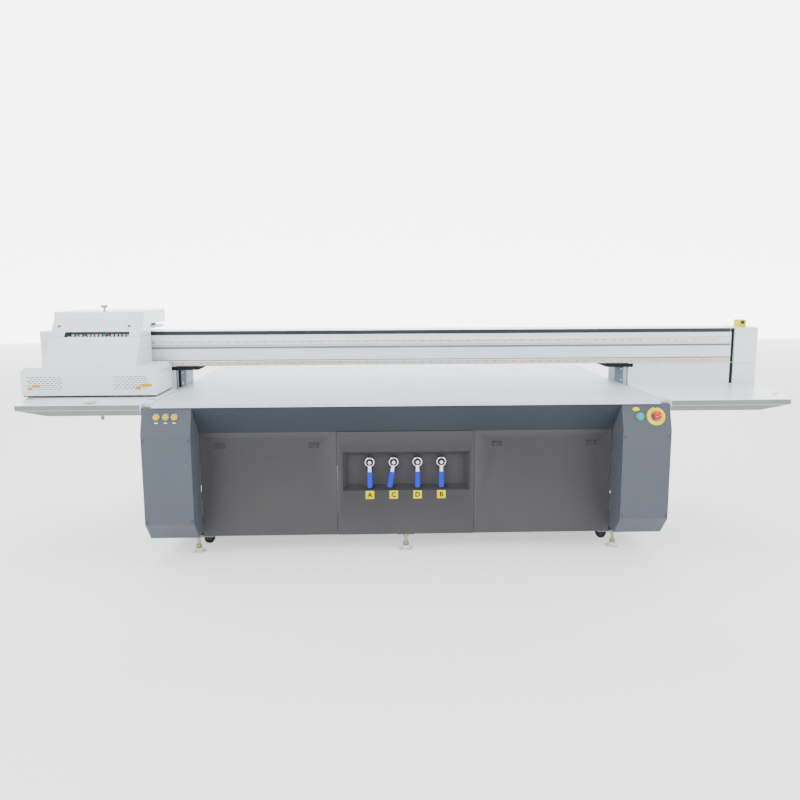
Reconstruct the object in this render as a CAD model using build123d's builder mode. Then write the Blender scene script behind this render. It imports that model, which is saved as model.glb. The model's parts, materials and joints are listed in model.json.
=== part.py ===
# Flatbed UV printer, one assembly in one frame. Millimetres, +Z up, Y runs from the front (-) to the back (+).
import os
from build123d import *

os.makedirs("parts", exist_ok=True)

# ---- driving dimensions ----
table_top = 945.0
table_half = 1450.0
table_depth = 1950.0
plate_thk = 22.0
body_half = 1507.0
pillar_in = 1228.0
pillar_front = -40.0
panel_y = 165.0
panel_z0, panel_z1 = 113.0, 745.0
base_back = 2045.0
y_centre = 1015.0  # the origin sits on the floor at the middle of the footprint
post = 80.0
post_x = 1360.0
post_y = (270.0, 1930.0)
post_z0, post_z1 = 113.0, 780.0
tray_front_half = 2212.0
tray_back_half = 2350.0
tray_thk = 33.0
beam_half = 2165.0
beam_y0, beam_y1 = 700.0, 950.0
beam_z0, beam_z1 = 1085.0, 1312.0
rail_up = (1218.0, 1257.0)
rail_lo = (1087.0, 1119.0)
hood_x0, hood_x1 = -2295.0, -1500.0
hood_y0, hood_y1 = 287.0, 655.0
hood_z0, hood_z1 = 957.0, 1125.0
mid_x0, mid_x1 = -2170.0, -1622.0
seam_z = 1296.0
lid_top = 1445.0
lid_back = 1000.0
wall = 6.0
valve_x = (-225.0, -82.0, 61.0, 204.0)
valve_z = 557.0
foot_x = (-1268.0, -8.0, 1268.0)
foot_y = (212.0, 1890.0)
caster_x, caster_y = 1225.0, (318.0, 1790.0)
wheel_r, wheel_z = 33.0, 54.0


def bx(x0, x1, y0, y1, z0, z1, mode=Mode.ADD):
    with Locations(((x0 + x1) / 2, (y0 + y1) / 2, (z0 + z1) / 2)):
        Box(x1 - x0, y1 - y0, z1 - z0, mode=mode)


def cx(x0, x1, y, z, r, mode=Mode.ADD):
    with Locations(Location(((x0 + x1) / 2, y, z), (0, 90, 0))):
        Cylinder(r, x1 - x0, mode=mode)


def cy(x, y0, y1, z, r, mode=Mode.ADD):
    with Locations(Location((x, (y0 + y1) / 2, z), (90, 0, 0))):
        Cylinder(r, y1 - y0, mode=mode)


def cz(x, y, z0, z1, r, mode=Mode.ADD):
    with Locations((x, y, (z0 + z1) / 2)):
        Cylinder(r, z1 - z0, mode=mode)


def side_profile(pts, x0, x1, mode=Mode.ADD):
    with BuildSketch(Plane.YZ.offset(x0)) as sk:
        with BuildLine():
            Polyline(*pts, close=True)
        make_face()
    extrude(sk.sketch, amount=x1 - x0, mode=mode)


def front_profile(pts, y0, y1, mode=Mode.ADD):
    with BuildSketch(Plane(origin=(0, y0, 0), x_dir=(1, 0, 0), z_dir=(0, -1, 0))) as sk:
        with BuildLine():
            Polyline(*pts, close=True)
        make_face()
    extrude(sk.sketch, amount=-(y1 - y0), mode=mode)


def plan_profile(pts, z0, z1, mode=Mode.ADD):
    with BuildSketch(Plane.XY.offset(z0)) as sk:
        with BuildLine():
            Polyline(*pts, close=True)
        make_face()
    extrude(sk.sketch, amount=z1 - z0, mode=mode)


def save(b, name):
    b.part.locate(Location((0, -y_centre, 0)))
    b.part.label = name
    export_step(b.part, "parts/" + name + ".step")


# ---- base ----
with BuildPart() as base_posts:
    for x in (-post_x, 0.0, post_x):
        for y in post_y:
            bx(x - post / 2, x + post / 2, y - post / 2, y + post / 2, post_z0, post_z1)
save(base_posts, "base_posts")

with BuildPart() as base_rails_x:
    for y in post_y:
        for z0, z1 in ((113.0, 205.0), (700.0, 780.0)):
            bx(-post_x + post / 2, -post / 2, y - 30, y + 30, z0, z1)
            bx(post / 2, post_x - post / 2, y - 30, y + 30, z0, z1)
save(base_rails_x, "base_rails_x")

with BuildPart() as base_rails_y:
    for x in (-post_x, 0.0, post_x):
        for z0, z1 in ((113.0, 205.0), (700.0, 780.0)):
            bx(x - 30, x + 30, post_y[0] + post / 2, post_y[1] - post / 2, z0, z1)
save(base_rails_y, "base_rails_y")

# side beams that carry the long guides of the gantry, with brackets to the posts
with BuildPart() as y_beams:
    for s in (-1, 1):
        a, b = sorted((s * 1400.0, s * 1438.0))
        bx(a, b, 190.0, 2010.0, 690.0, 790.0)
        a, b = sorted((s * 1438.0, s * 1450.0))
        bx(a, b, 195.0, 2005.0, 752.0, 780.0)
        bx(a, b, 195.0, 2005.0, 700.0, 722.0)
save(y_beams, "y_beams")

# cross bearers between frame and table core
with BuildPart() as table_bearers:
    for y in (320.0, 700.0, 1080.0, 1460.0, 1840.0):
        bx(-1395.0, 1395.0, y - 30, y + 30, post_z1, 860.0)
save(table_bearers, "table_bearers")

with BuildPart() as vacuum_table:
    bx(-table_half, table_half, 0.0, table_depth, table_top - plate_thk, table_top)
    bx(-1395.0, 1395.0, 185.0, table_depth - 30, 860.0, table_top - plate_thk)
save(vacuum_table, "vacuum_table")

with BuildPart() as side_panels:
    for s in (-1, 1):
        a, b = sorted((s * (body_half - 10), s * body_half))
        bx(a, b, 160.0, 2030.0, 125.0, 876.0)
        # pressed ribs on the long side
        for y in (640.0, 1120.0, 1600.0):
            bx(a - (3 if s < 0 else 0), b + (3 if s > 0 else 0), y - 20, y + 20, 160.0, 840.0)
save(side_panels, "side_panels")

with BuildPart() as rear_panel:
    bx(-body_half, body_half, 2030.0, base_back, 125.0, 876.0)
    for x in (-900.0, 0.0, 900.0):
        for i in range(8):
            bx(x - 150, x + 150, 2028.0, base_back + 2, 250.0 + 30 * i, 262.0 + 30 * i, Mode.SUBTRACT)
save(rear_panel, "rear_panel")

with BuildPart() as power_inlet:
    bx(1100.0, 1260.0, base_back, base_back + 12, 560.0, 680.0)
    cy(1180.0, base_back + 12, base_back + 39.3, 620.0, 32.0)
    cy(1180.0, base_back + 20, base_back + 41, 620.0, 26.0, Mode.SUBTRACT)
save(power_inlet, "power_inlet")

# ---- front covers ----
pillar_pts = [(pillar_front, 252), (pillar_front, 780), (14, 921), (56, 921), (56, 876), (160, 876), (160, 140), (62, 140)]
pillar_hole = [(pillar_front + 8, 260), (pillar_front + 8, 776), (18, 905), (48, 905), (48, 862), (161, 862), (161, 148), (70, 148)]
for s, nm in ((-1, "corner_cover_left"), (1, "corner_cover_right")):
    a, b = sorted((s * pillar_in, s * body_half))
    with BuildPart() as corner_cover:
        side_profile(pillar_pts, a, b)
        side_profile(pillar_hole, a + 8, b - 8, Mode.SUBTRACT)
    save(corner_cover, nm)

with BuildPart() as front_fascia:
    side_profile([(4, 921), (14, 921), (178, 745), (panel_y, 745)], -pillar_in, pillar_in)
save(front_fascia, "front_fascia")

seam_l, seam_r = -418.0, 398.0
with BuildPart() as front_panel_left:
    bx(-pillar_in + 1, seam_l - 1.5, panel_y, panel_y + 15, panel_z0, panel_z1)
    for x in (-1108.0, -553.0):
        bx(x - 29, x + 29, panel_y - 1, panel_y + 6, 651.0, 681.0, Mode.SUBTRACT)
save(front_panel_left, "front_panel_left")
with BuildPart() as front_panel_right:
    bx(seam_r + 1.5, pillar_in - 1, panel_y, panel_y + 15, panel_z0, panel_z1)
    for x in (535.0, 1103.0):
        bx(x - 29, x + 29, panel_y - 1, panel_y + 6, 651.0, 681.0, Mode.SUBTRACT)
save(front_panel_right, "front_panel_right")

pk_x0, pk_x1, pk_z0, pk_z1, pk_d = -386.0, 374.0, 386.0, 622.0, 45.0
with BuildPart() as front_panel_centre:
    bx(seam_l, seam_r, panel_y - 5, panel_y + 12, panel_z0, panel_z1)
    bx(pk_x0 - 10, pk_x1 + 10, panel_y + 12, panel_y + pk_d + 8, pk_z0 - 10, pk_z1 + 10)
    pcx, pcz = (pk_x0 + pk_x1) / 2, (pk_z0 + pk_z1) / 2
    with BuildSketch(Plane(origin=(pcx, panel_y - 5, pcz), x_dir=(1, 0, 0), z_dir=(0, -1, 0))):
        Rectangle(pk_x1 - pk_x0, pk_z1 - pk_z0)
    with BuildSketch(Plane(origin=(pcx, panel_y + pk_d, pcz), x_dir=(1, 0, 0), z_dir=(0, -1, 0))):
        Rectangle(pk_x1 - pk_x0 - 64, pk_z1 - pk_z0 - 50)
    loft(mode=Mode.SUBTRACT)
save(front_panel_centre, "front_panel_centre")

with BuildPart() as panel_latches:
    for x in (-1108.0, -553.0, 535.0, 1103.0):
        with BuildSketch(Plane(origin=(x, panel_y - 2, 666), x_dir=(1, 0, 0), z_dir=(0, -1, 0))):
            SlotOverall(56, 28)
        extrude(amount=-7)
save(panel_latches, "panel_latches")

# ---- valves ----
with BuildPart() as valve_bodies:
    for x in valve_x:
        cy(x, 170.0, 210.0, valve_z, 29.5)
        cy(x, 169.0, 204.0, valve_z, 20.5, Mode.SUBTRACT)
        cy(x, 166.0, 204.0, valve_z, 8.0)
save(valve_bodies, "valve_bodies")

tilt = (0.0, 9.3, 0.0, 0.0)
for i, nm in enumerate(("a", "c", "d", "b")):
    vx = valve_x[i]
    with BuildPart() as lever:
        with BuildSketch(Plane(origin=(vx, 165.6, valve_z), x_dir=(1, 0, 0), z_dir=(0, -1, 0))):
            RegularPolygon(17.0, 6)
        extrude(amount=13.6)
        with Locations(Location((vx, 159, valve_z), (0, tilt[i], 0))):
            with Locations((0, 0, -36.0)):
                Box(22.0, 8.0, 46.0)
            with Locations((0, 0, -58.0 - 48.0)):
                Box(31.0, 14.0, 96.0)
    save(lever, "valve_lever_" + nm)

with BuildPart() as valve_tags:
    for x in valve_x:
        bx(x - 25.5, x + 25.5, panel_y - 6, panel_y - 5, 334.0, 384.0)
save(valve_tags, "valve_tags")

# ---- controls on the bevels ----
by, bz = 141.0 / (141.0 ** 2 + 54.0 ** 2) ** 0.5, 54.0 / (141.0 ** 2 + 54.0 ** 2) ** 0.5  # bevel normal is (0, -by, bz)


def bevel_y(z):
    return pillar_front + 54.0 * (z - 780.0) / 141.0


def bevel_plane(x, z, lift=0.0):
    y = bevel_y(z)
    return Plane(origin=(x, y - by * lift, z + bz * lift), x_dir=(1, 0, 0), z_dir=(0, -by, bz))


yb_x = (-1421.0, -1368.0, -1320.0)
yb_z, st_x, st_z, es_x, es_z = 871.0, 1328.0, 852.0, 1421.0, 853.0
with BuildPart() as button_bezels:
    for x, z, r in ((yb_x[0], yb_z, 21.0), (yb_x[1], yb_z, 21.0), (yb_x[2], yb_z, 21.0), (st_x, st_z, 24.0)):
        with BuildSketch(bevel_plane(x, z)):
            Circle(r)
            Circle(r - 4.0, mode=Mode.SUBTRACT)
        extrude(amount=6.0)
    with BuildSketch(bevel_plane(es_x, es_z)):
        Circle(28.0)
    extrude(amount=3.0)
save(button_bezels, "button_bezels")
for i, x in enumerate(yb_x):
    with BuildPart() as yellow_button:
        with BuildSketch(bevel_plane(x, yb_z, 5.0)):
            Circle(16.6)
        extrude(amount=7.0)
        fillet(yellow_button.faces().sort_by(Axis((0, 0, 0), (0, -by, bz)))[-1].edges(), 2.5)
    save(yellow_button, "yellow_button_%d" % (i + 1))
with BuildPart() as start_button:
    with BuildSketch(bevel_plane(st_x, st_z, 5.0)):
        Circle(19.6)
    extrude(amount=7.0)
    fillet(start_button.faces().sort_by(Axis((0, 0, 0), (0, -by, bz)))[-1].edges(), 2.0)
save(start_button, "start_button")
with BuildPart() as estop_ring:
    with BuildSketch(bevel_plane(es_x, es_z)):
        Circle(53.0)
        Circle(30.0, mode=Mode.SUBTRACT)
    extrude(amount=4.0)
    with BuildSketch(bevel_plane(1309.0, 893.0)):
        Ellipse(20.0, 12.0)
    extrude(amount=2.0)
save(estop_ring, "estop_ring")
with BuildPart() as estop_button:
    with BuildSketch(bevel_plane(es_x, es_z, 10.0)):
        Circle(15.0)
    extrude(amount=14.0)
    with BuildSketch(bevel_plane(es_x, es_z, 24.0)):
        Circle(23.0)
    extrude(amount=14.0)
    fillet(estop_button.faces().sort_by(Axis((0, 0, 0), (0, -by, bz)))[-1].edges(), 5.0)
save(estop_button, "estop_button")
# ---- feet and casters ----
with BuildPart() as levelling_feet:
    for x in foot_x:
        for y in foot_y:
            cz(x, y, 0.0, 12.0, 45.0)
            cz(x, y, 12.0, 26.0, 22.0)
            cz(x, y, 26.0, 101.0, 10.0)
            cz(x, y, 34.0, 48.0, 17.0)
save(levelling_feet, "levelling_feet")
with BuildPart() as foot_plates:
    for y0, y1 in ((184.0, 372.0), (1730.0, 1960.0)):
        for s in (-1, 1):
            a, b = sorted((s * 1170.0, s * 1335.0))
            bx(a, b, y0, y1, 101.0, 113.0)
    bx(-58, 42, 220.0 - 36, 300.0, 101.0, 113.0)
    bx(-58, 42, 1840.0, 1960.0, 101.0, 113.0)
save(foot_plates, "foot_plates")
with BuildPart() as caster_forks:
    for s in (-1, 1):
        for y in caster_y:
            x = s * caster_x
            cz(x, y, 94.0, 101.0, 32.0)
            bx(x - 26, x + 26, y - 28, y + 28, 88.0, 94.0)
            for t in (-1, 1):
                a, b = sorted((y + t * 22.0, y + t * 28.0))
                bx(x - 14, x + 14, a, b, 42.0, 88.0)
            cy(x, y - 30, y + 30, wheel_z, 6.0)
save(caster_forks, "caster_forks")
k = 0
for s in (-1, 1):
    for y in caster_y:
        k += 1
        with BuildPart() as caster_wheel:
            cy(s * caster_x, y - 18, y + 18, wheel_z, wheel_r)
            cy(s * caster_x, y - 19, y + 19, wheel_z, 6.06, Mode.SUBTRACT)
        save(caster_wheel, "caster_wheel_%d" % k)

# ---- gantry ----
with BuildPart() as gantry_side_plates:
    for s in (-1, 1):
        a, b = sorted((s * 1460.0, s * 1485.0))
        bx(a, b, 620.0, 1000.0, 690.0, 940.0)
        a, b = sorted((s * 1455.0, s * 1480.0))
        bx(a, b, 705.0, 1030.0, 935.0, 1059.0)
        a, b = sorted((s * 1450.3, s * 1460.0))
        for y in (640.0, 880.0):
            bx(a, b, y, y + 100, 745.0, 790.0)
            bx(a, b, y, y + 100, 694.0, 728.0)
save(gantry_side_plates, "gantry_side_plates")
with BuildPart() as gantry_brackets:
    for s in (-1, 1):
        a, b = sorted((s * 1340.0, s * 1484.0))
        bx(a, b, 701.0, 945.0, 1059.0, beam_z0)
save(gantry_brackets, "gantry_brackets")

with BuildPart() as beam:
    side_profile([(beam_y0, beam_z0), (beam_y0, 1286), (beam_y0 + 12, 1286), (beam_y0 + 12, beam_z1 - 2),
                  (beam_y0 + 14, beam_z1), (beam_y1, beam_z1), (beam_y1, beam_z0)], -beam_half, beam_half)
    for s in (-1, 1):
        a, b = sorted((s * beam_half, s * 2190.0))
        bx(a, b, beam_y0 + 15, beam_y1 - 60, beam_z0, beam_z1)
    # hollow box section, opened at the back by lightening windows
    bx(-2150.0, 2150.0, beam_y0 + 24, beam_y1 - 10, beam_z0 + 12, beam_z1 - 22, Mode.SUBTRACT)
    for i in range(7):
        xx = -1800.0 + 600.0 * i
        bx(xx - 160, xx + 160, beam_y1 - 11, beam_y1 + 1, 1112.0, 1170.0, Mode.SUBTRACT)
save(beam, "beam")
with BuildPart() as x_rails:
    for z0, z1 in (rail_up, rail_lo):
        bx(-beam_half + 5, beam_half - 5, beam_y0 - 10, beam_y0, z0, z1)
save(x_rails, "x_rails")
with BuildPart() as cable_trough:
    side_profile([(beam_y1, 1180), (beam_y1 + 90, 1180), (beam_y1 + 90, 1250), (beam_y1 + 86, 1250), (beam_y1 + 86, 1184), (beam_y1 + 4, 1184), (beam_y1 + 4, 1250), (beam_y1, 1250)], -2000.0, 2000.0)
save(cable_trough, "cable_trough")

for s, nm in ((-1, "left"), (1, "right")):
    with BuildPart() as tray:
        pts = [(1512, 0), (tray_front_half, 0), (tray_back_half, 690), (tray_back_half, 950), (1486, 950), (1486, 618), (1462, 618), (1462, 60), (1512, 60)]
        plan_profile([(s * px, py) for px, py in pts], table_top - tray_thk, table_top)
        front_profile([(s * 1512, 912), (s * 2205, 912), (s * 2035, 881), (s * 1512, 881)], 8.0, 900.0)
    save(tray, "tray_" + nm)
with BuildPart() as towers:
    for s in (-1, 1):
        a, b = sorted((s * 2190.0, s * tray_back_half))
        bx(a, b, beam_y0, 900.0, table_top, 1315.0)
    fillet(towers.edges().filter_by(Axis.Z).filter_by_position(Axis.X, tray_back_half - 1, tray_back_half + 1), 22.0)
    fillet(towers.edges().filter_by(Axis.Z).filter_by_position(Axis.X, -tray_back_half - 1, -tray_back_half + 1), 22.0)
save(towers, "towers")
with BuildPart() as gantry_rear_panels:
    for s in (-1, 1):
        a, b = sorted((s * 1486.0, s * 2189.0))
        bx(a, b, beam_y0 + 2, beam_y0 + 20, table_top, beam_z0)
        bx(a, b, beam_y1 - 20, beam_y1, table_top, beam_z0)
save(gantry_rear_panels, "gantry_rear_panels")
with BuildPart() as tower_estop_box:
    bx(2222.0, 2281.0, 745.0, 802.0, 1315.0, 1364.0)
save(tower_estop_box, "tower_estop_box")
with BuildPart() as tower_estop_button:
    cy(2256.0, 733.0, 740.5, 1347.0, 9.0)
save(tower_estop_button, "tower_estop_button")
with BuildPart() as capping_station:
    bx(-2230.0, -1560.0, 330.0, 620.0, table_top, 947.0)
save(capping_station, "capping_station")
with BuildPart() as drain_spout:
    cz(-1744.0, 60.0, 850.0, 881.0, 8.0)
    cz(-1744.0, 60.0, 858.0, 864.0, 12.0)
save(drain_spout, "drain_spout")
with BuildPart() as tray_knob:
    cz(-1810.0, 64.0, table_top, 952.0, 14.0)
    cz(-1810.0, 64.0, 952.0, 972.0, 37.0)
    fillet(tray_knob.faces().sort_by(Axis.Z)[-1].edges(), 7.0)
save(tray_knob, "tray_knob")

# ---- carriage ----
with BuildPart() as slider_plate:
    bx(-2150.0, -1640.0, 661.0, 676.0, 1070.0, 1275.0)
    for x in (-2140.0, -1750.0):
        bx(x, x + 100, 676.0, 689.6, 1222.0, 1253.0)
        bx(x, x + 100, 676.0, 689.6, 1090.0, 1116.0)
    # bridge that clears the beam and carries the lid hinge
    bx(mid_x0 + 20, mid_x1 - 18, 661.0, 676.0, 1275.0, 1330.0)
    bx(mid_x0 + 8, mid_x1 - 8, 661.0, lid_back - 15, 1330.0, 1345.0)
    for x in (-2110.0, -1712.0):
        bx(x, x + 30, lid_back - 30, lid_back - 15, 1345.0, 1352.0)
        cx(x, x + 30, lid_back - 16, 1352.0, 6.0)
save(slider_plate, "slider_plate")

with BuildPart() as lower_hood:
    front_profile([(hood_x0, hood_z0), (hood_x0, hood_z1 - 28), (hood_x0 + 28, hood_z1), (hood_x1 - 28, hood_z1), (hood_x1, hood_z1 - 28), (hood_x1, hood_z0)], hood_y0, hood_y1)
    front_profile([(hood_x0 + wall, hood_z0 - 1), (hood_x0 + wall, hood_z1 - 31), (hood_x0 + 31, hood_z1 - wall), (hood_x1 - 31, hood_z1 - wall), (hood_x1 - wall, hood_z1 - 31), (hood_x1 - wall, hood_z0 - 1)], hood_y0 + wall, hood_y1 - wall, Mode.SUBTRACT)
    for x0, x1 in ((-2258.0, -2054.0), (-1751.0, -1549.0)):
        n = 8
        for i in range(n):
            for j in range(7):
                xx = x0 + (x1 - x0) * (i + 0.5) / n + (6 if j % 2 else -6)
                bx(xx - 8, xx + 8, hood_y0 - 1, hood_y0 + wall + 1, 994 + 12 * j, 998 + 12 * j, Mode.SUBTRACT)
    for x in (-2200.0, -1620.0):
        bx(x, x + 24, 637.0, hood_y1 - wall, 980.0, 1110.0)
    # rear bridge to the slider plate
    bx(mid_x0 + 40, mid_x1 - 40, hood_y1, 661.0, 1075.0, hood_z1)
save(lower_hood, "lower_hood")

mid_pts = [(300, hood_z1), (435, seam_z - 1), (hood_y1, seam_z - 1), (hood_y1, hood_z1)]
mid_hole = [(300 + 9, hood_z1 - 1), (435 + 9, seam_z), (hood_y1 - wall, seam_z), (hood_y1 - wall, hood_z1 - 1)]
with BuildPart() as mid_hood:
    side_profile(mid_pts, mid_x0, mid_x1)
    side_profile(mid_hole, mid_x0 + wall, mid_x1 - wall, Mode.SUBTRACT)
save(mid_hood, "mid_hood")

lid_pts = [(436, seam_z + 1), (524, 1400), (532, lid_top), (lid_back, lid_top), (lid_back, 1366), (hood_y1, 1366), (hood_y1, seam_z + 1)]
lid_hole = [(444, seam_z), (531, 1398), (538, lid_top - wall), (lid_back - wall, lid_top - wall), (lid_back - wall, 1365), (hood_y1 - wall, 1365), (hood_y1 - wall, seam_z)]
with BuildPart() as lid:
    side_profile(lid_pts, mid_x0, mid_x1)
    side_profile(lid_hole, mid_x0 + wall, mid_x1 - wall, Mode.SUBTRACT)
    bx(-2085.0, -1692.0, 420.0, 480.0, seam_z, 1326.0, Mode.SUBTRACT)
    for x in (-2128.0, -1702.0):
        with BuildSketch(Plane(origin=(x, 488.0, 1358.0), x_dir=(1, 0, 0), z_dir=(0, -0.763, 0.646))):
            Circle(9.0)
        extrude(amount=3.0)
save(lid, "lid")
with BuildPart() as lid_handle:
    cz(-1872.0, 560.0, lid_top, 1472.0, 6.0)
    cx(-1892.0, -1852.0, 560.0, 1478.0, 9.0)
save(lid_handle, "lid_handle")
with BuildPart() as ink_dampers:
    for i in range(16):
        x = -2068.0 + 24.0 * i
        cz(x, 478.0, 1215.0, 1314.0, 8.0)
    bx(-2090.0, -1690.0, 462.0, 530.0, 1200.0, 1215.0)
    bx(-2090.0, -2080.0, 530.0, 649.0, 1200.0, 1210.0)
    bx(-1700.0, -1690.0, 530.0, 649.0, 1200.0, 1210.0)
save(ink_dampers, "ink_dampers")
with BuildPart() as head_plate:
    bx(-2270.0, -1525.0, 320.0, 620.0, 985.0, 995.0)
    for x in (-2200.0, -1620.0):
        bx(x - 10, x + 34, 612.0, 636.6, 995.0, 1050.0)
save(head_plate, "head_plate")
with BuildPart() as print_heads:
    for i in range(4):
        for j in range(2):
            x = -2100.0 + 115.0 * i
            y = 340.0 + 140.0 * j
            bx(x, x + 60, y, y + 120, 953.0, 985.0)
            bx(x + 12, x + 48, y + 10, y + 110, 995.0, 1060.0)
save(print_heads, "print_heads")
with BuildPart() as uv_lamps:
    for x in (-2262.0, -1622.0):
        bx(x, x + 90, 340.0, 600.0, 955.0, 985.0)
save(uv_lamps, "uv_lamps")
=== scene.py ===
import bpy, bmesh, math, json
from mathutils import Vector, Matrix


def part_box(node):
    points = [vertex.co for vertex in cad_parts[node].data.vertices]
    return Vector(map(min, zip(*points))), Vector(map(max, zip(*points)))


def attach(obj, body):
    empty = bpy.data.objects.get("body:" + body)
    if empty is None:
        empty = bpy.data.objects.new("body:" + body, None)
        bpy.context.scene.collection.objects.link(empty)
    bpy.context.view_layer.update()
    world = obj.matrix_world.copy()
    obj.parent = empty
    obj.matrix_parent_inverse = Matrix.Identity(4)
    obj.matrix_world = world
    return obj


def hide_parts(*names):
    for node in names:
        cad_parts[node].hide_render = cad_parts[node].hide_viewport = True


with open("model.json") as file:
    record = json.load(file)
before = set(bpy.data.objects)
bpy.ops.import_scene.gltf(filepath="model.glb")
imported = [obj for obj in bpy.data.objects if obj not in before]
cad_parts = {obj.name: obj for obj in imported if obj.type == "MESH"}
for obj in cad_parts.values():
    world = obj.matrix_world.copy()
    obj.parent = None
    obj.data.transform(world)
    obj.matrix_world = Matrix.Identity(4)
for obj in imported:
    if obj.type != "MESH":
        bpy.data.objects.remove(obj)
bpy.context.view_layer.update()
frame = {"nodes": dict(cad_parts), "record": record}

N = frame["nodes"]
lo_t, hi_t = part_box("vacuum_table")
Y0, ZT = lo_t.y, hi_t.z          # front edge and top of the table
TB = 0.945
def M(x, y, z):
    """millimetres measured from the table's front edge and the floor, to the frame"""
    return Vector((x / 1000.0, Y0 + y / 1000.0, z / 1000.0))

# ---------------------------------------------------------------- camera
F, yaw, pit, rol = 759.13, math.radians(1.63), math.radians(8.79), math.radians(-0.24)
fw = Vector((math.sin(yaw) * math.cos(pit), math.cos(yaw) * math.cos(pit), -math.sin(pit)))
rt = Vector((math.cos(yaw), -math.sin(yaw), 0))
up = rt.cross(fw)
r2 = rt * math.cos(rol) + up * math.sin(rol)
u2 = -rt * math.sin(rol) + up * math.cos(rol)
cd = bpy.data.cameras.new("camera"); cam = bpy.data.objects.new("camera", cd)
bpy.context.scene.collection.objects.link(cam)
cd.sensor_width = 36.0; cd.lens = F / 800 * 36; cd.clip_end = 100; cd.clip_start = 0.05
m = Matrix((r2, u2, -fw)).transposed().to_4x4()
m.translation = M(-167.9, -4255.8, 1616.6)
cam.matrix_world = m
bpy.context.scene.camera = cam

# ---------------------------------------------------------------- materials
def mat(name, col, rough=0.4, metal=0.0, var=0.06, scale=6.0, bump=0.05, bscale=300.0, coat=0.0, wear=0.0, aniso=None, emit=None, streak=None, spec=0.5):
    mt = bpy.data.materials.new(name); mt.use_nodes = True
    nt = mt.node_tree; b = nt.nodes["Principled BSDF"]
    L = nt.links.new
    tc = nt.nodes.new("ShaderNodeTexCoord")
    mp = nt.nodes.new("ShaderNodeMapping"); L(tc.outputs["Object"], mp.inputs[0])
    if streak: mp.inputs["Scale"].default_value = streak
    n1 = nt.nodes.new("ShaderNodeTexNoise"); n1.inputs["Scale"].default_value = scale; n1.inputs["Detail"].default_value = 5
    L(mp.outputs[0], n1.inputs["Vector"])
    cr = nt.nodes.new("ShaderNodeValToRGB")
    d = [max(0, c * (1 - var)) for c in col]; u = [min(1, c * (1 + var)) for c in col]
    cr.color_ramp.elements[0].color = (*d, 1); cr.color_ramp.elements[0].position = 0.3
    cr.color_ramp.elements[1].color = (*u, 1); cr.color_ramp.elements[1].position = 0.7
    L(n1.outputs["Fac"], cr.inputs[0]); out = cr.outputs[0]
    if wear > 0:
        g = nt.nodes.new("ShaderNodeNewGeometry")
        r = nt.nodes.new("ShaderNodeMapRange"); r.inputs[1].default_value = 0.52; r.inputs[2].default_value = 0.62
        L(g.outputs["Pointiness"], r.inputs[0])
        mx = nt.nodes.new("ShaderNodeMix"); mx.data_type = "RGBA"
        mm = nt.nodes.new("ShaderNodeMath"); mm.operation = "MULTIPLY"; mm.inputs[1].default_value = wear
        L(r.outputs[0], mm.inputs[0]); L(mm.outputs[0], mx.inputs[0])
        L(out, mx.inputs[6]); mx.inputs[7].default_value = (*[min(1, c * 1.8 + 0.08) for c in col], 1); out = mx.outputs[2]
    L(out, b.inputs["Base Color"])
    b.inputs["Metallic"].default_value = metal
    b.inputs["Specular IOR Level"].default_value = spec
    rr = nt.nodes.new("ShaderNodeMapRange"); rr.inputs[3].default_value = max(0.02, rough - 0.06); rr.inputs[4].default_value = rough + 0.08
    n2 = nt.nodes.new("ShaderNodeTexNoise"); n2.inputs["Scale"].default_value = scale * 3; n2.inputs["Detail"].default_value = 4
    L(mp.outputs[0], n2.inputs["Vector"]); L(n2.outputs["Fac"], rr.inputs[0]); L(rr.outputs[0], b.inputs["Roughness"])
    n3 = nt.nodes.new("ShaderNodeTexNoise"); n3.inputs["Scale"].default_value = bscale; n3.inputs["Detail"].default_value = 3
    L(mp.outputs[0], n3.inputs["Vector"])
    bp = nt.nodes.new("ShaderNodeBump"); bp.inputs["Strength"].default_value = bump; bp.inputs["Distance"].default_value = 0.0006
    L(n3.outputs["Fac"], bp.inputs["Height"]); L(bp.outputs[0], b.inputs["Normal"])
    if coat: b.inputs["Coat Weight"].default_value = coat; b.inputs["Coat Roughness"].default_value = 0.15
    if emit: b.inputs["Emission Color"].default_value = (*emit, 1); b.inputs["Emission Strength"].default_value = 0.4
    return mt

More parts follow.
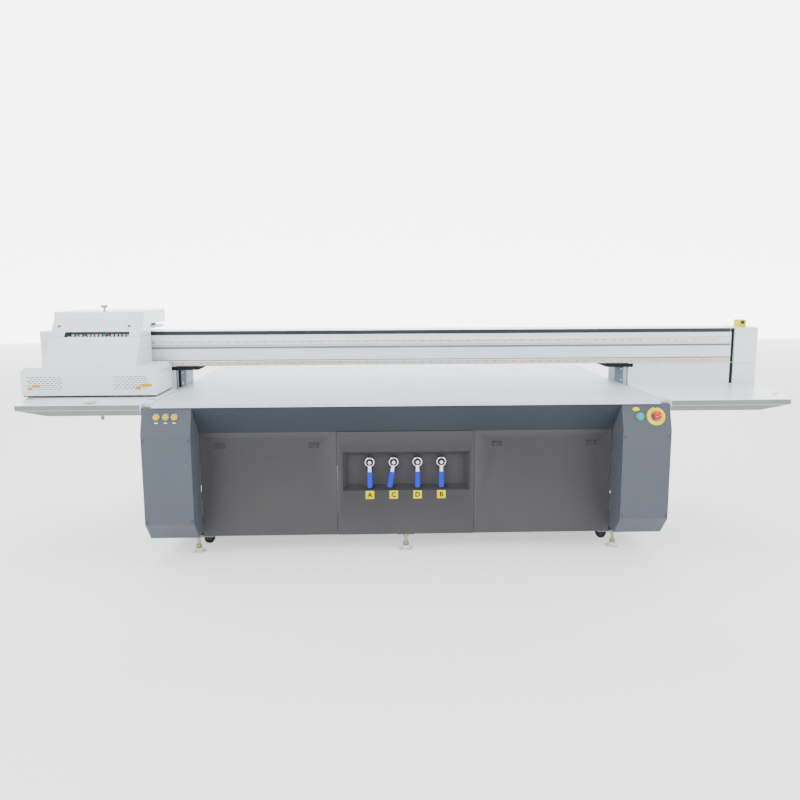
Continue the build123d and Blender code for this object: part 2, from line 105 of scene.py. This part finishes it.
MT = {
 "frame": mat("frame_paint", (.14, .16, .18), .45, wear=.3),
 "rail": mat("rail_steel", (.84, .81, .76), .28, .7, var=.07, scale=2.0, streak=(.6, 8, 22), bump=.03),
 "anod": mat("anodised_plate", (.56, .64, .70), .42, .05, var=.035, scale=3.0, bump=.04, bscale=900),
 "cover": mat("cover_blue_grey", (.052, .061, .077), .5, .0, var=.05, scale=2.2, bump=.10, bscale=700, wear=.2, spec=.2),
 "fascia": mat("fascia_blue", (.036, .043, .055), .55, .0, var=.06, scale=2.0, bump=.1, bscale=700, spec=.15),
 "panel": mat("panel_grey", (.050, .049, .051), .6, .0, var=.05, scale=2.0, bump=.12, bscale=700, wear=.15, spec=.15),
 # dark grey for the tray undersides: painted shade
 "tray_shade": mat("tray_underside_painted_shade", (.20, .21, .20), .6, spec=.2),
 "edge": mat("tray_edge", (.62, .68, .71), .45),
 "ringy": mat("stop_ring_yellow", (.80, .67, .0), .55, var=.03, spec=.05),
 "plate": mat("side_plate", (.36, .43, .48), .6, .0, var=.05, spec=.3),
 # mid grey used as painted shade on the left side plate's shaded face, and for tower gap and seam strips
 "shade_seam_grey": mat("painted_shade_and_seam_grey", (.13, .16, .19), .7, .0, spec=.2),
 "matte": mat("matte_dark", (.016, .019, .023), .8, spec=.1),
 "white": mat("shell_white", (.72, .80, .84), .36, .0, var=.025, scale=2.5, bump=.08, bscale=800, coat=.25, wear=.15),
 "black": mat("black_plastic", (.012, .012, .014), .42, var=.2, bump=.15, bscale=600),
 "dark": mat("dark_steel", (.03, .033, .038), .4, .6, var=.15, wear=.3),
 "chrome": mat("chrome", (.82, .83, .84), .10, 1.0, var=.04, bump=.01),
 "blue": mat("lever_vinyl", (.0, .022, .66), .5, var=.08, bump=.12, bscale=400, spec=.15),
 "yellow": mat("yellow_plastic", (.66, .43, .0), .55, var=.04, spec=.06),
 "tag": mat("tag_yellow", (.66, .58, .0), .65, var=.05, bump=.1, spec=.05),
 "ink": mat("tag_letter", (.012, .011, .004), .8, spec=.05),
 "green": mat("green_cap", (.0, .38, .40), .5, spec=.06),
 "red": mat("red_cap", (.72, .004, .012), .45, spec=.15),
 "bezel": mat("bezel_steel", (.20, .21, .23), .4, .6, var=.08, streak=(1, 1, 30)),
 "wplast": mat("white_plastic", (.78, .79, .79), .35, var=.03, coat=.2),
 "zinc": mat("olive_zinc", (.38, .36, .20), .3, .9, var=.22, scale=60),
 "rubber": mat("caster_rubber", (.014, .014, .015), .65, var=.2, bump=.3, bscale=500),
 "hgrey": mat("handle_grey", (.30, .31, .33), .3, .9, var=.1),
 "orange": mat("label_orange", (.70, .28, .0), .6, spec=.08),
 "cyan": mat("ring_cyan", (.02, .42, .75), .3), "mag": mat("ring_magenta", (.65, .02, .25), .3),
 "kblk": mat("ring_black", (.02, .02, .02), .3), "yel2": mat("ring_yellow", (.85, .7, .05), .3),
 "bronze": mat("rail_lower", (.76, .70, .60), .30, .7, var=.09, scale=1.6, streak=(.5, 8, 22)),
 "floor": mat("floor_pale", (.90, .90, .90), .7, var=.01, scale=.8, bump=.02),
}
SLOT = {"frame_steel": "frame", "rail_steel": "rail", "anodised": "anod", "cover_blue": "cover", "fascia_blue": "fascia",
        "panel_grey": "panel", "shell_white": "white", "black_plastic": "black", "chrome": "chrome", "lever_blue": "blue", "yellow": "yellow",
        "green": "green", "red": "red", "bezel": "bezel", "white_plastic": "wplast", "wheel_black": "rubber", "handle_grey": "hgrey", "lamp_black": "dark"}
node_slot = {s["node"]: s["material_slot"] for s in frame["record"]["subparts"]}
for n, o in N.items():
    mt = MT[SLOT[node_slot[n]]]
    o.data.materials.clear(); o.data.materials.append(mt)
BEV = {"beam": 2, "tray_left": 4, "tray_right": 4, "lower_hood": 4, "mid_hood": 3, "lid": 5, "corner_cover_left": 4, "corner_cover_right": 4,
       "front_panel_left": 2, "front_panel_right": 2, "front_panel_centre": 2, "vacuum_table": 2, "towers": 3, "gantry_brackets": 2, "gantry_side_plates": 1.5, "front_fascia": 1.5,
       "side_panels": 2, "rear_panel": 2, "gantry_rear_panels": 2, "base_posts": 4, "base_rails_x": 4, "base_rails_y": 4, "table_bearers": 3}
N["gantry_brackets"].data.materials[0] = MT["matte"]
N["gantry_side_plates"].data.materials[0] = MT["plate"]
for n, w in BEV.items():
    md = N[n].modifiers.new("edge", "BEVEL"); md.width = w / 1000; md.segments = 2; md.limit_method = "ANGLE"; md.angle_limit = math.radians(35); md.use_clamp_overlap = True
    md.harden_normals = False

# ---------------------------------------------------------------- mesh helpers
def obj_from(bm, name, mt, body, smooth=False, rep=()):
    me = bpy.data.meshes.new(name); bmesh.ops.recalc_face_normals(bm, faces=bm.faces); bm.to_mesh(me); bm.free()
    o = bpy.data.objects.new(name, me); bpy.context.scene.collection.objects.link(o)
    if not isinstance(mt, (list, tuple)): mt = [mt]
    for k in mt: me.materials.append(MT[k])
    if smooth:
        for p in me.polygons: p.use_smooth = True
    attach(o, body)
    if rep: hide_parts(*rep)
    return o

def add_box(bm, x0, x1, y0, y1, z0, z1, bev=1.0, mi=0, rot=None):
    a, b = M(x0, y0, z0), M(x1, y1, z1)
    r = bmesh.ops.create_cube(bm, size=1.0)
    c = (a + b) / 2; s = b - a
    for v in r["verts"]:
        v.co = Vector((v.co.x * s.x, v.co.y * s.y, v.co.z * s.z))
        if rot: v.co = rot @ v.co
        v.co += c
    es = list({e for v in r["verts"] for e in v.link_edges})
    fs = {f for v in r["verts"] for f in v.link_faces}
    if bev:
        res = bmesh.ops.bevel(bm, geom=es, offset=bev / 1000, segments=2, affect="EDGES", profile=.6, clamp_overlap=True)
        fs |= set(res["faces"])
    for f in fs:
        if f.is_valid: f.material_index = mi
    return r

def lathe(bm, prof, origin, axis, n=48, mi=0, smooth=True):
    """prof: (radius, height) in mm along axis from origin"""
    ax = Vector(axis).normalized(); t = ax.orthogonal().normalized(); s = ax.cross(t)
    rings = []
    for r, h in prof:
        if r < 1e-6: rings.append([bm.verts.new(origin + ax * h / 1000)])
        else: rings.append([bm.verts.new(origin + ax * h / 1000 + (t * math.cos(2 * math.pi * i / n) + s * math.sin(2 * math.pi * i / n)) * r / 1000) for i in range(n)])
    for a, b in zip(rings, rings[1:]):
        for i in range(n):
            j = (i + 1) % n
            if len(a) == 1 and len(b) == 1: continue
            q = [a[0], b[i], b[j]] if len(a) == 1 else ([a[i], b[0], a[j]] if len(b) == 1 else [a[i], b[i], b[j], a[j]])
            f = bm.faces.new(q); f.material_index = mi; f.smooth = smooth

def prism(bm, pts, origin, u, v, w, depth, mi=0):
    """closed outline pts (mm) in plane u,v extruded along w"""
    u, v, w = Vector(u), Vector(v), Vector(w)
    a = [bm.verts.new(origin + (u * p[0] + v * p[1]) / 1000) for p in pts]
    b = [bm.verts.new(x.co + w * depth / 1000) for x in a]
    k = len(a)
    fs = [bm.faces.new(a), bm.faces.new(b[::-1])] + [bm.faces.new([a[i], b[i], b[(i + 1) % k], a[(i + 1) % k]]) for i in range(k)]
    for f in fs: f.material_index = mi

X, Y, Z = (1, 0, 0), (0, 1, 0), (0, 0, 1)
def circ(r, n=32, rx=1.0, ry=1.0): return [(r * rx * math.cos(2 * math.pi * i / n), r * ry * math.sin(2 * math.pi * i / n)) for i in range(n)]

# ---------------------------------------------------------------- valves
vx = (-225.0, -82.0, 61.0, 204.0); vz = 557.0
for i, k in enumerate("acdb"):
    bm = bmesh.new(); t = math.radians(9.3) if k == "c" else 0.0
    rot = Matrix.Rotation(t, 3, "Y")
    P = M(vx[i], 165.4, vz)
    hexa = [(11 * math.cos(math.pi / 3 * j + .2), 11 * math.sin(math.pi / 3 * j + .2)) for j in range(6)]
    prism(bm, circ(20.0, 40), P, X, Z, (0, -1, 0), 1.4, 2)
    prism(bm, hexa, P + Vector((0, -.0014, 0)), X, Z, (0, -1, 0), 9.0, 0)
    lathe(bm, [(6.5, 10), (6.2, 13.0), (0, 13.4)], P, (0, -1, 0), 24, 0)
    ux, uz = rot @ Vector(X), rot @ Vector(Z)
    O = M(vx[i], 164.0, vz)
    neck = [(-7, -19), (-9, -26), (-10.5, -60), (10.5, -60), (9, -26), (7, -19)]
    prism(bm, neck, O, ux, uz, (0, -1, 0), 6.0, 0)
    # sleeve: rounded vinyl grip, rings of a superellipse
    rings = []
    prof = [(.55, -57.5), (.9, -58.5), (1, -63), (.92, -76), (.97, -110), (1.0, -140), (.93, -150), (.6, -153.6)]
    for sc, h in prof:
        ring = []
        for j in range(28):
            a = 2 * math.pi * j / 28; ca, sa = math.cos(a), math.sin(a)
            px = 15.3 * sc * math.copysign(abs(ca) ** .55, ca); py = 6.8 * (.6 + .4 * sc) * math.copysign(abs(sa) ** .65, sa)
            ring.append(bm.verts.new(M(vx[i], 159.0, vz) + (ux * px + uz * h) / 1000 + Vector((0, py / 1000, 0))))
        rings.append(ring)
    for a, b in zip(rings, rings[1:]):
        for j in range(28):
            f = bm.faces.new([a[j], a[(j + 1) % 28], b[(j + 1) % 28], b[j]]); f.material_index = 1; f.smooth = True
    for r in (rings[0], rings[-1]):
        f = bm.faces.new(r); f.material_index = 1
    obj_from(bm, "valve_handle_" + k, ["wplast", "blue", "matte"], "valve_" + k, rep=("valve_lever_" + k,))
bm = bmesh.new()
for x in vx:
    lathe(bm, [(29.5, 0), (29.5, 36.5), (28.2, 39.2), (26, 40), (23.5, 40), (21.2, 38.6), (20.5, 35), (20.5, 6), (8.0, 6), (8.0, 43.2), (6.8, 44), (0, 44)], M(x, 210, vz), (0, -1, 0), 64)
obj_from(bm, "valve_rings", ["chrome"], "base", rep=("valve_bodies",))
# pipes from each valve down into the panel
bm = bmesh.new()
for x in vx:
    lathe(bm, [(11, -60), (11, -31), (13, -30), (13, -27.5)], M(x, 203, vz - 5), (0, 0, 1), 24, 0)
obj_from(bm, "valve_pipes", ["dark"], "base")
bm = bmesh.new()
for x in vx: add_box(bm, x - 25.5, x + 25.5, 158.8, 160.0, 334, 384, .5)
obj_from(bm, "tag_plates", ["tag"], "base", rep=("valve_tags",))
for i, k in enumerate("ACDB"):
    cu = bpy.data.curves.new("tag_" + k, "FONT"); cu.body = k; cu.size = .040; cu.align_x = "CENTER"; cu.align_y = "CENTER"; cu.extrude = .0003; cu.offset = .0009; cu.materials.append(MT["ink"])
    o = bpy.data.objects.new("tag_letter_" + k, cu); bpy.context.scene.collection.objects.link(o)
    o.location = M(vx[i], 158.4, 358); o.rotation_euler = (math.pi / 2, 0, 0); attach(o, "base")

# ---------------------------------------------------------------- latches
bm = bmesh.new()
for x in (-1108, -553, 535, 1103):
    out = []
    for j in range(40):
        a = 2 * math.pi * j / 40; out.append((31 * math.copysign(abs(math.cos(a)) ** .8, math.cos(a)), 15.5 * math.sin(a)))
    prism(bm, out, M(x, 165, 666), X, Z, (0, -1, 0), 2.0, 0)
    prism(bm, [(p[0] * .84, p[1] * .72) for p in out], M(x, 163, 666), X, Z, (0, -1, 0), .8, 0)
    lathe(bm, [(6, 0), (6, 2.0), (4.5, 2.6), (0, 2.6)], M(x + 14, 162.8, 666), (0, -1, 0), 20, 1)
    add_box(bm, x - 24, x + 2, 161.0, 162.6, 661, 671, .6)
obj_from(bm, "latch_covers", ["black", "dark"], "base", rep=("panel_latches",))

# ---------------------------------------------------------------- controls on the bevels
nl = math.hypot(141, 54); nb = Vector((0, -141 / nl, 54 / nl)); tb = Vector((0, 54 / nl, 141 / nl))
def bevel(x, z): return M(x, -40 + 54 * (z - 780) / 141, z)
bm = bmesh.new()
for x in (-1421, -1368, -1320):
    lathe(bm, [(17.2, 0.1), (17.2, 4), (18.5, 6.2), (20.5, 6), (21, 4.5), (21, .1)], bevel(x, 871), nb, 40)
lathe(bm, [(20.2, .1), (20.2, 4), (21.5, 6.4), (23.4, 6), (24, 4.5), (24, .1)], bevel(1328, 852), nb, 40)
obj_from(bm, "bezel_rings", ["bezel"], "base")
for i, x in enumerate((-1421, -1368, -1320)):
    bm = bmesh.new(); lathe(bm, [(0, 5), (16.4, 5), (16.5, 9.5), (15.6, 11.2), (13, 11.9), (0, 12)], bevel(x, 871), nb, 40)
    obj_from(bm, "yellow_cap_%d" % (i + 1), ["yellow"], "yellow_%d" % (i + 1), rep=("yellow_button_%d" % (i + 1),))
bm = bmesh.new(); lathe(bm, [(0, 5), (19.4, 5), (19.5, 9.5), (18.6, 11.3), (15, 11.8), (0, 11.9)], bevel(1328, 852), nb, 40)
obj_from(bm, "start_cap", ["green"], "start", rep=("start_button",))
bm = bmesh.new()
for x in (-1421, -1368, -1320): prism(bm, [(-9, -2.5), (9, -2.5), (9, 2.5), (-9, 2.5)], bevel(x, 840) + nb * .0001, X, tb, nb, .6)
obj_from(bm, "button_marks", ["wplast"], "base")
# raised yellow ring with an index notch, small oval plate
bm = bmesh.new(); P = bevel(1421, 853)
pr = [(29.9, 3.8), (31, 4.0), (50, 4.0), (52.8, 3), (53, .2)]
n = 72; rings = []
for r, h in pr:
    ring = []
    for j in range(n):
        a = 2 * math.pi * j / n; rr = r
        if abs(a - math.pi / 2) < .12 and r > 45: rr = r - 5
        ring.append(bm.verts.new(P + (Vector(X) * math.cos(a) + tb * math.sin(a)) * rr / 1000 + nb * h / 1000))
    rings.append(ring)
for a, b in zip(rings, rings[1:]):
    for j in range(n): bm.faces.new([a[j], b[j], b[(j + 1) % n], a[(j + 1) % n]])
prism(bm, circ(20, 36, 1, .6), bevel(1309, 893) + nb * .0002, X, tb, nb, 1.8, 0)
obj_from(bm, "stop_ring_plate", ["ringy"], "base", rep=("estop_ring",))
bm = bmesh.new(); lathe(bm, [(15, 10), (15, 24), (19, 24.5), (22.5, 27), (23, 31), (22, 35), (18, 37.4), (9, 38), (0, 38)], P, nb, 48)
for j in range(3):
    a = 2 * math.pi * j / 3; c = P + nb * .0378 + (Vector(X) * math.cos(a) + tb * math.sin(a)) * .012
    prism(bm, [(-4, -1), (2, -1), (2, -2.4), (5, 0), (2, 2.4), (2, 1), (-4, 1)], c, X, tb, nb, .15, 1)
obj_from(bm, "stop_mushroom", ["red", "wplast"], "front_stop", rep=("estop_button",))
P = M(2256, 740.5, 1347)
bm = bmesh.new(); lathe(bm, [(0, 0), (8.6, 0), (8.9, 5), (8, 6.8), (6, 7.5), (0, 7.5)], P, (0, -1, 0), 32)
obj_from(bm, "tower_stop_cap", ["dark"], "tower_stop", rep=("tower_estop_button",))
bm = bmesh.new(); add_box(bm, 2222, 2281, 745, 802, 1315, 1364, 4, 0)
lathe(bm, [(9.8, -4.4), (12.6, -4.4), (12.6, -1), (11.2, .2), (9.8, .2)], P, (0, -1, 0), 40, 1)
for sx in (2229, 2274):
    for sz in (1322, 1357): lathe(bm, [(3.4, 0), (3.4, 1.2), (2, 1.8), (0, 1.8)], M(sx, 745, sz), (0, -1, 0), 16, 2)
obj_from(bm, "tower_stop_case", ["ringy", "black", "chrome"], "gantry", rep=("tower_estop_box",))

# ---------------------------------------------------------------- feet and casters
bm = bmesh.new()
for x in (-1268, -8, 1268):
    for y in (212, 1890):
        P = M(x, y, 0)
        lathe(bm, [(0, 0), (43, 0), (45, 3), (44, 8), (30, 12), (22, 15), (21, 25), (17, 28), (0, 28)], P, Z, 40, 0)
        th = []
        for j in range(34):
            z = 28 + j * 2.12; th += [(9.2, z), (10.0, z + 1.06)]
        lathe(bm, th + [(9.5, 101)], P, Z, 20, 1)
        hx = [(17 * math.cos(math.pi / 3 * j), 17 * math.sin(math.pi / 3 * j)) for j in range(6)]
        prism(bm, hx, M(x, y, 34), X, Y, Z, 13, 1); prism(bm, hx, M(x, y, 86), X, Y, Z, 13, 1)
        lathe(bm, [(10, 33), (19, 33.2), (19, 34)], P, Z, 28, 1)
obj_from(bm, "levelling_foot_set", ["wplast", "zinc"], "base", rep=("levelling_feet",))
k = 0
for s in (-1, 1):
    for y in (318, 1790):
        k += 1; P = M(s * 1225, y, 54); bm = bmesh.new()
        lathe(bm, [(7, -19), (12, -19), (13, -14), (22, -14), (24, -17.5), (30, -18), (32.8, -13), (33, 0), (32.8, 13), (30, 18), (24, 17.5), (22, 14), (13, 14), (12, 19), (7, 19)], P, Y, 48, 0)
        for j in range(5):
            a = 2 * math.pi * j / 5; q = P + Vector((math.cos(a), 0, math.sin(a))) * .0175
            lathe(bm, [(2.6, -14.6), (2.6, 14.6)], q, Y, 12, 1)
        obj_from(bm, "wheel_tread_%d" % k, ["rubber", "dark"], "wheel_%d" % k, rep=("caster_wheel_%d" % k,))

# ---------------------------------------------------------------- beam details
bx0, bx1 = -2165, 2165
bm = bmesh.new(); add_box(bm, bx0 + 2, bx1 - 6, 702.5, 711.8, 1286.4, 1311.4, 1); obj_from(bm, "beam_slot_strip", ["black"], "gantry")
# beam trim: a dark seam line below the upper rail; a white strip under it that is a painted highlight for the bright
# lit edge there; a dark strip on top of the lower rail that is a painted shadow line; small white tabs along the seam
bm = bmesh.new()
add_box(bm, bx0 + 4, bx1 - 4, 698.4, 700.2, 1204.4, 1208.6, .3)
add_box(bm, bx0 + 4, bx1 - 4, 697.2, 700.2, 1198.0, 1203.0, .6, 1)
add_box(bm, bx0 + 4, bx1 - 4, 697.6, 700.2, 1119.3, 1122.4, .3)
for j in range(9): add_box(bm, -1450 + 350 * j - 11, -1450 + 350 * j + 11, 697.6, 698.8, 1205, 1210, .4, 1)
obj_from(bm, "beam_seam_and_painted_light_lines", ["dark", "wplast"], "gantry")
def rail_profile(z0, z1):
    h = z1 - z0
    return [(0, 0), (-6.5, 0), (-9.8, h * .10), (-9.8, h * .30), (-6, h * .40), (-6, h * .60), (-9.8, h * .70), (-9.8, h * .9), (-6.5, h), (0, h)]
bm = bmesh.new()
for z0, z1, mi in ((1218, 1257, 0), (1087, 1119, 1)):
    prism(bm, [(a, b) for a, b in rail_profile(z0, z1)], M(-2159.5, 700, z0), Y, Z, X, 4319, mi)
    for j in range(70):
        x = -2100 + 60 * j; lathe(bm, [(4.2, 5.0), (4.2, 6.6), (2.4, 6.6), (2.2, 5.6), (0, 5.6)], M(x, 700, (z0 + z1) / 2), (0, -1, 0), 12, 2)
obj_from(bm, "rail_profiles", ["rail", "bronze", "dark"], "gantry", rep=("x_rails",))
# rail end sticker, tower gap strips, seams and plain stickers
bm = bmesh.new()
add_box(bm, 2072, 2152, 688.9, 690.1, 1222, 1250, .2, 0); add_box(bm, 2076, 2098, 688.4, 689.2, 1225, 1247, .2, 1)
add_box(bm, 2206, 2326, 699.0, 700.2, 1262, 1308, .2, 0); add_box(bm, 2268, 2320, 698.6, 699.4, 1291, 1305, .2, 1); add_box(bm, 2245, 2262, 698.6, 699.4, 1279, 1288, .2, 1)
add_box(bm, -2338, -2316, 699.0, 700.2, 1248, 1276, .2, 1)
obj_from(bm, "gantry_stickers", ["wplast", "tag"], "gantry")
bm = bmesh.new()
for t in (-1, 1):
    a, b = sorted((t * 2167, t * 2188.5)); add_box(bm, a, b, 713.4, 715.2, 1086, 1310, .3, 0)
    a, b = sorted((t * 2166, t * 2186)); add_box(bm, a, b, 700.6, 702.2, 946, 1084, .3, 1)
    a, b = sorted((t * 2192, t * 2340)); add_box(bm, a, b, 699.4, 700.4, 1079.2, 1081, .2, 1)
    a, b = sorted((t * 1484, t * 1518)); add_box(bm, a, b, 700.5, 702.2, 1058, 1081, .3, 0)
add_box(bm, -1472, -1455.2, 704.0, 705.2, 946, 1058, .3, 0)
obj_from(bm, "gap_strips", ["matte", "shade_seam_grey"], "gantry")
bm = bmesh.new()
# dark sheets on the inner faces of the side plates are painted shade: their front parts lie in shadow and are darkened
# by colour, the rear parts keep the plate colour; chrome screw heads
add_box(bm, -1455.3, -1454.4, 706, 832, 946, 1058, .2, 0); add_box(bm, 1454.4, 1455.3, 706, 884, 946, 1058, .2, 1)
for t in (-1, 1):
    for y in (745, 905):
        for z in (965, 1040): lathe(bm, [(7, .3), (7, 1.6), (4, 2.4), (0, 2.4)], M(t * 1454.4, y, z), (-t, 0, 0), 16, 2)
obj_from(bm, "side_plate_painted_shade_and_screws", ["shade_seam_grey", "matte", "chrome"], "gantry")

# trays: front label marks, drip lip and knob
bm = bmesh.new()
lathe(bm, [(13, 945), (13, 951.8), (33, 952), (36.8, 955), (36.2, 964), (31, 970), (18, 972), (0, 972)], M(-1810, 64, 0), Z, 48)
for j in range(12):
    a = 2 * math.pi * j / 12; q = M(-1810, 64, 0) + Vector((math.cos(a), math.sin(a), 0)) * .0346
    lathe(bm, [(2.2, 955), (2.2, 965), (0, 966)], q, Z, 8)
obj_from(bm, "tray_knob_cap", ["wplast"], "gantry", rep=("tray_knob",))
bm = bmesh.new()
lathe(bm, [(6.0, 850), (8, 850), (8, 858), (12, 858), (12, 864), (8, 864.5), (8, 881)], M(-1744, 60, 0), Z, 24)
obj_from(bm, "drain_nozzle", ["hgrey"], "gantry", rep=("drain_spout",))
bm = bmesh.new()
for x0, x1, y0, y1, mi in ((-2252, -2205, 228, 250, 0), (2178, 2200, 133, 150, 1), (2206, 2250, 208, 232, 0), (-1524, -1466, 168, 190, 2)):
    add_box(bm, x0, x1, y0, y1, 945.05, 945.8, .2, mi)
obj_from(bm, "tray_stickers", ["red", "black", "orange"], "gantry")
# dark sheets under the tray fronts are painted shade standing for the chamfered undersides, which face down into
# shadow; pale strips are the tray front edges
bm = bmesh.new()
for t in (-1, 1):
    pts = [(t * 1514, 911.5), (t * 2203, 911.5), (t * 2034, 881.6), (t * 1514, 881.6)]
    prism(bm, pts, M(0, 8.1, 0), X, Z, (0, -1, 0), 1.0)
    a, b = sorted((t * 1514, t * 2207)); add_box(bm, a, b, -.5, .4, 913.5, 941.5, .2, 1)
obj_from(bm, "tray_painted_shade_and_edges", ["tray_shade", "edge"], "gantry")

# ---------------------------------------------------------------- carriage details
# black band round the foot of the hood: the gap under it plus painted shadow that the hood casts onto the tray
bm = bmesh.new()
for a in ((-2289, -1506, 293, 297), (-2289, -1506, 645, 649), (-2289, -2285, 293, 649), (-1510, -1506, 293, 649)):
    add_box(bm, a[0], a[1], a[2], a[3], 949.5, 962, .5)
obj_from(bm, "hood_gap_and_painted_shadow", ["black"], "carriage")
bm = bmesh.new()
for x0, x1, z0, z1, mi in ((-2230, -2185, 1007, 1023, 0), (-2255, -2233, 990, 1009, 1), (-1582, -1524, 1008, 1024, 0), (-1617, -1590, 990, 1012, 1)):
    add_box(bm, x0, x1, 286.2, 287.2, z0, z1, .2, mi)
obj_from(bm, "hood_labels", ["orange", "tag"], "carriage")
cols = ["kblk", "cyan", "red", "yel2", "cyan", "mag", "wplast", "wplast"]
bm = bmesh.new(); mats = ["wplast", "kblk", "cyan", "mag", "yel2", "red", "hgrey"]
seq = [1, 0, 2, 0, 3, 0, 4, 0, 0, 2, 5, 0, 0, 4, 0, 0]
for i in range(16):
    x = -2068 + 24 * i; P = M(x, 478, 0)
    lathe(bm, [(6, 1215), (8, 1216), (8, 1297), (6.8, 1298.5)], P, Z, 20, 0)
    lathe(bm, [(6.8, 1298.5), (8, 1299.5), (8, 1308), (6.8, 1309)], P, Z, 20, seq[i])
    lathe(bm, [(6.8, 1309), (5, 1310), (3, 1311), (3, 1313.6), (0, 1314)], P, Z, 20, 6)
add_box(bm, -2090, -1690, 462, 530, 1200, 1215, 2, 6); add_box(bm, -2090, -2080, 530, 649, 1200, 1210, 1, 6); add_box(bm, -1700, -1690, 530, 649, 1200, 1210, 1, 6)
obj_from(bm, "damper_row", mats, "carriage", rep=("ink_dampers",))
bm = bmesh.new()
lathe(bm, [(13, 1445.1), (13, 1447.5), (7, 1449), (5.6, 1452), (5.6, 1471)], M(-1872, 560, 0), Z, 28)
lathe(bm, [(0, -20), (7, -19.4), (9, -16.5), (8.4, -6), (8.2, 0), (8.4, 6), (9, 16.5), (7, 19.4), (0, 20)], M(-1872, 560, 1477.8), X, 28)
obj_from(bm, "lid_pull", ["hgrey"], "hood_lid", rep=("lid_handle",))
# screws and lock heads on the hoods
bm = bmesh.new(); nrm = Vector((0, -.763, .646))
for x in (-2128, -1702): lathe(bm, [(9, 3.0), (8.6, 3.6), (3, 3.7), (2.6, 2.9), (0, 2.9)], M(x, 488, 1358), nrm, 24)
obj_from(bm, "lid_lock_heads", ["black"], "hood_lid")
bm = bmesh.new()
for x in (-2280, -1515):
    for z in (975, 1085): lathe(bm, [(5, 0), (5, 1.4), (3.4, 2.0), (1.5, 2.0), (1.3, 1.2), (0, 1.2)], M(x, 287, z), (0, -1, 0), 18)
for x in (-2150, -1642):
    for t in (.12, .88):
        y = 300 + 135 * t; z = 1125 + 170 * t
        lathe(bm, [(5, 0), (5, 1.4), (3.4, 2.0), (0, 2.0)], M(x, y, z), Vector((0, -.783, .622)), 18)
obj_from(bm, "hood_screws", ["white"], "carriage")
bm = bmesh.new()
for s in (-1, 1):
    for x in (1240, 1495):
        for z in (180, 740, ): lathe(bm, [(7, 0), (7, 1.6), (5, 2.4), (2, 2.4), (1.8, 1.4), (0, 1.4)], M(s * x, -40, z + 90 if z < 200 else z), (0, -1, 0), 18)
obj_from(bm, "cover_screws", ["cover"], "base")
bm = bmesh.new()
for s in (-1, 1):
    for x in (1560, 1800, 2040, 2160):
        for z in (965, 1062): lathe(bm, [(6, 0), (6, 1.4), (4, 2), (0, 2)], M(s * x, 702, z), (0, -1, 0), 16)
obj_from(bm, "rear_panel_screws", ["white"], "gantry")

# ---------------------------------------------------------------- stage and light
fm = bmesh.new(); bmesh.ops.create_grid(fm, x_segments=2, y_segments=2, size=30)
me = bpy.data.meshes.new("floor"); fm.to_mesh(me); fm.free(); fl = bpy.data.objects.new("floor", me); bpy.context.scene.collection.objects.link(fl); me.materials.append(MT["floor"])
def glow(name, strength):
    g = bpy.data.materials.new(name); g.use_nodes = True; b = g.node_tree.nodes["Principled BSDF"]
    b.inputs["Base Color"].default_value = (.9, .9, .9, 1); b.inputs["Roughness"].default_value = .8
    b.inputs["Emission Color"].default_value = (1, 1, 1, 1); b.inputs["Emission Strength"].default_value = strength
    return g
me.materials[0] = glow("floor_glow", 0.7)
wm = bmesh.new(); wv = [wm.verts.new(c) for c in ((-30, 16, -.1), (30, 16, -.1), (30, 16, 14), (-30, 16, 14))]; wm.faces.new(wv)
we = bpy.data.meshes.new("backdrop"); wm.to_mesh(we); wm.free(); wo = bpy.data.objects.new("backdrop", we); bpy.context.scene.collection.objects.link(wo); we.materials.append(glow("backdrop_glow", 5.0))
def area(name, loc, target, size, power, sy=None):
    ld = bpy.data.lights.new(name, "AREA"); ld.energy = power; ld.size = size; ld.shape = "RECTANGLE"; ld.size_y = sy or size
    o = bpy.data.objects.new(name, ld); bpy.context.scene.collection.objects.link(o); o.location = loc
    o.rotation_euler = (Vector(target) - Vector(loc)).to_track_quat("-Z", "Y").to_euler(); return o
area("key", (-4.5, -6.5, 5.5), (0, 0, .8), 4.0, 500)
area("fill", (5.5, -6.0, 4.0), (0, 0, .8), 4.0, 320)
area("top", (0, 0.5, 6.5), (0, 0, .6), 6.0, 380)
w = bpy.data.worlds.new("studio"); bpy.context.scene.world = w; w.use_nodes = True
w.node_tree.nodes["Background"].inputs[0].default_value = (.95, .97, 1.0, 1); w.node_tree.nodes["Background"].inputs[1].default_value = 0.9

bpy.context.view_layer.update()
